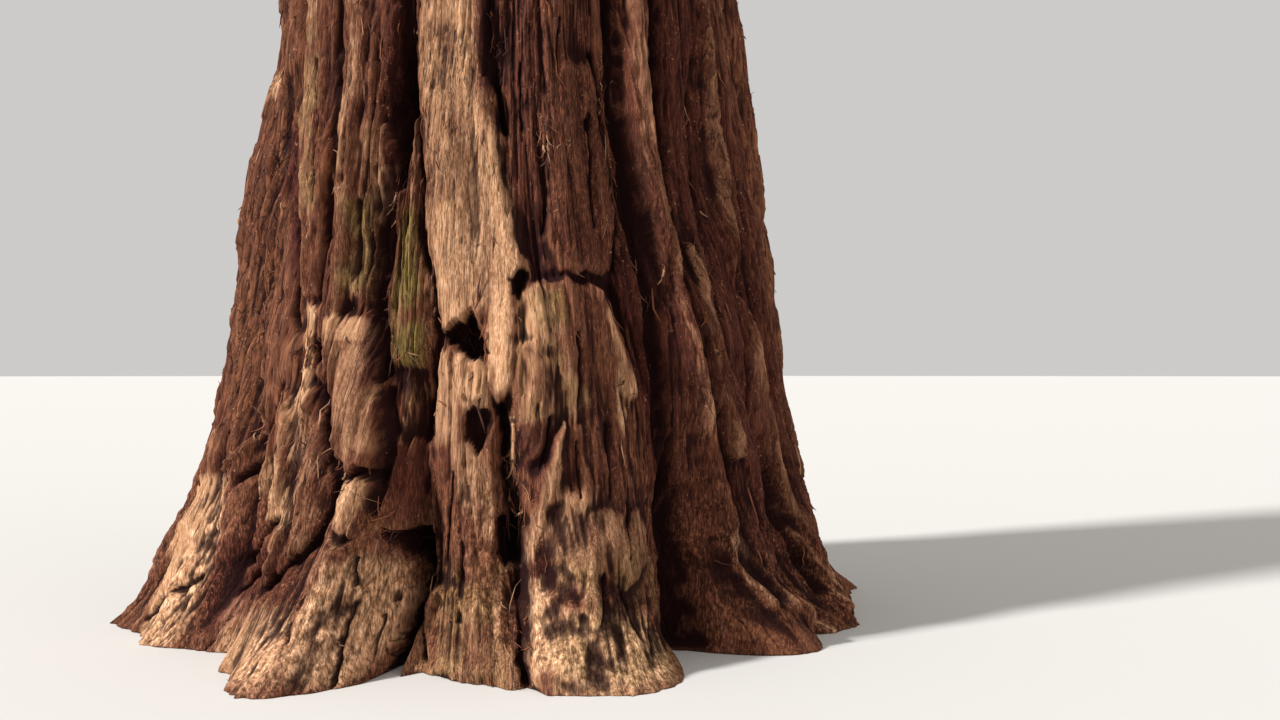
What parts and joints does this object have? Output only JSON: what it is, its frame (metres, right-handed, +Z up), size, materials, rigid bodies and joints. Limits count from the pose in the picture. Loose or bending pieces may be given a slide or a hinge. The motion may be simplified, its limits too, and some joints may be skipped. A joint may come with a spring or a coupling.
{
  "type": "redwood tree",
  "caption": "Tall conifer with a flared, buttressed foot, a long bare trunk and a narrow drooping crown; the trunk's flat foot stands on the ground.",
  "frame": {"origin": "middle of the flat cut under the trunk, at ground level", "axes": "+Z straight up, towards the tip; -Y is the side that the picture shows, with +X to its right"},
  "size_m": [8.1925, 7.6744, 40],
  "materials": {
    "bark": "thick fibrous red-brown bark, deeply furrowed, greyer on the ridges, with some moss",
    "bough": "rough brown limb bark",
    "foliage": "flat sprays of dark green needles"
  },
  "bodies": {
    "root": {"bough_lone": "bough", "bough_tier1_a": "bough", "bough_tier1_b": "bough", "bough_tier1_c": "bough", "bough_tier2_a": "bough", "bough_tier2_b": "bough", "bough_tier2_c": "bough", "bough_tier3_a": "bough", "bough_tier3_b": "bough", "bough_tier3_c": "bough", "bough_tier4_a": "bough", "bough_tier4_b": "bough", "bough_tier4_c": "bough", "bough_tier5_a": "bough", "bough_tier5_b": "bough", "bough_tier5_c": "bough", "bough_tier6_a": "bough", "bough_tier6_b": "bough", "bough_tier6_c": "bough", "bough_tier7_a": "bough", "bough_tier7_b": "bough", "bough_tier7_c": "bough", "bough_tier8_a": "bough", "bough_tier8_b": "bough", "bough_tier8_c": "bough", "bough_tier9_a": "bough", "bough_tier9_b": "bough", "bough_tier9_c": "bough", "foliage_lone": "foliage", "foliage_tier1_a": "foliage", "foliage_tier1_b": "foliage", "foliage_tier1_c": "foliage", "foliage_tier2_a": "foliage", "foliage_tier2_b": "foliage", "foliage_tier2_c": "foliage", "foliage_tier3_a": "foliage", "foliage_tier3_b": "foliage", "foliage_tier3_c": "foliage", "foliage_tier4_a": "foliage", "foliage_tier4_b": "foliage", "foliage_tier4_c": "foliage", "foliage_tier5_a": "foliage", "foliage_tier5_b": "foliage", "foliage_tier5_c": "foliage", "foliage_tier6_a": "foliage", "foliage_tier6_b": "foliage", "foliage_tier6_c": "foliage", "foliage_tier7_a": "foliage", "foliage_tier7_b": "foliage", "foliage_tier7_c": "foliage", "foliage_tier8_a": "foliage", "foliage_tier8_b": "foliage", "foliage_tier8_c": "foliage", "foliage_tier9_a": "foliage", "foliage_tier9_b": "foliage", "foliage_tier9_c": "foliage", "foliage_top": "foliage", "trunk": "bark"}
  },
  "joints": []
}
